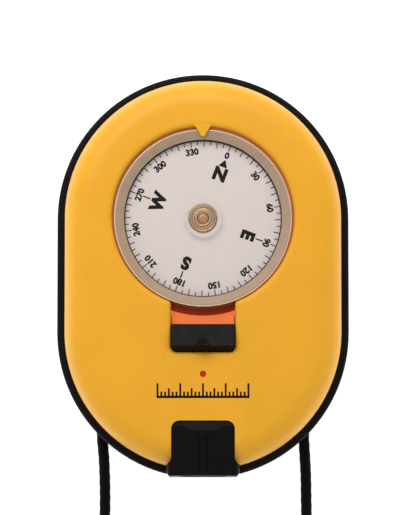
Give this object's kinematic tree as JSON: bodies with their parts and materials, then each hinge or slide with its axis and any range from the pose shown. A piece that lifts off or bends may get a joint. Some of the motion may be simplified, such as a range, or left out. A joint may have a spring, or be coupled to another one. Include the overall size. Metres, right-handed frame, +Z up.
{
  "type": "hand-bearing geology compass",
  "caption": "Oblong hand-bearing compass with a liquid-filled capsule, turning degree card, sighting tunnel with eyepiece, and a neck cord.",
  "frame": {"origin": "on the case's flat back, under the middle of the case (the neck cord is left out)", "axes": "+X to the right, +Y the sighting direction away from the user's eye, +Z up out of the dial; the compass lies on its back"},
  "size_m": [0.078, 0.169, 0.0236],
  "materials": {
    "yellow_plastic": "satin moulded plastic, warm yellow",
    "black_plastic": "fine-grained black moulded plastic",
    "clear_acrylic": "clear polished acrylic",
    "orange_acrylic": "orange light-gathering acrylic",
    "gasket_silicone": "dark red silicone rubber",
    "white_plastic": "warm white printed plastic",
    "brass": "turned and polished",
    "jewel": "polished bearing jewel",
    "steel": "plain steel",
    "magnet": "ground magnet",
    "rubber": "soft black rubber",
    "cord_nylon": "black braided nylon cord",
    "tie_band": "woven black hook-and-loop band"
  },
  "bodies": {
    "case": {"upper_shell": "yellow_plastic", "lower_shell": "black_plastic", "case_seal": "rubber", "case_screws": "steel", "light_ring": "orange_acrylic", "capsule_gasket": "gasket_silicone", "capsule_dome": "clear_acrylic", "capsule_cup": "clear_acrylic", "capsule_cushion": "rubber", "fill_plug": "white_plastic", "pivot_needle": "steel", "sight_block": "black_plastic", "reading_lens": "clear_acrylic", "index_hair": "black_plastic", "sight_tunnel": "black_plastic", "eyepiece_hood": "black_plastic", "eye_lens": "clear_acrylic", "lens_retainer": "black_plastic", "lanyard_left": "cord_nylon", "lanyard_right": "cord_nylon", "lanyard_knots": "cord_nylon", "lanyard_coil": "cord_nylon", "coil_tie": "tie_band"},
    "card": {"compass_card": "white_plastic", "card_hub": "brass", "hub_jewel": "jewel", "magnet_yoke": "brass"},
    "magnet": {"dip_magnet": "magnet", "magnet_trunnions": "steel"}
  },
  "joints": [
    {"name": "card_spin", "type": "hinge", "parent": "case", "child": "card", "pos_m": [0, 0.0147, 0.0162], "axis": [0, 0, 1], "continuous": true},
    {"name": "magnet_dip", "type": "hinge", "parent": "card", "child": "magnet", "pos_m": [0, 0.0147, 0.01193], "axis": [0.9348, -0.3551, 0], "range_deg": [-20, 20]}
  ]
}
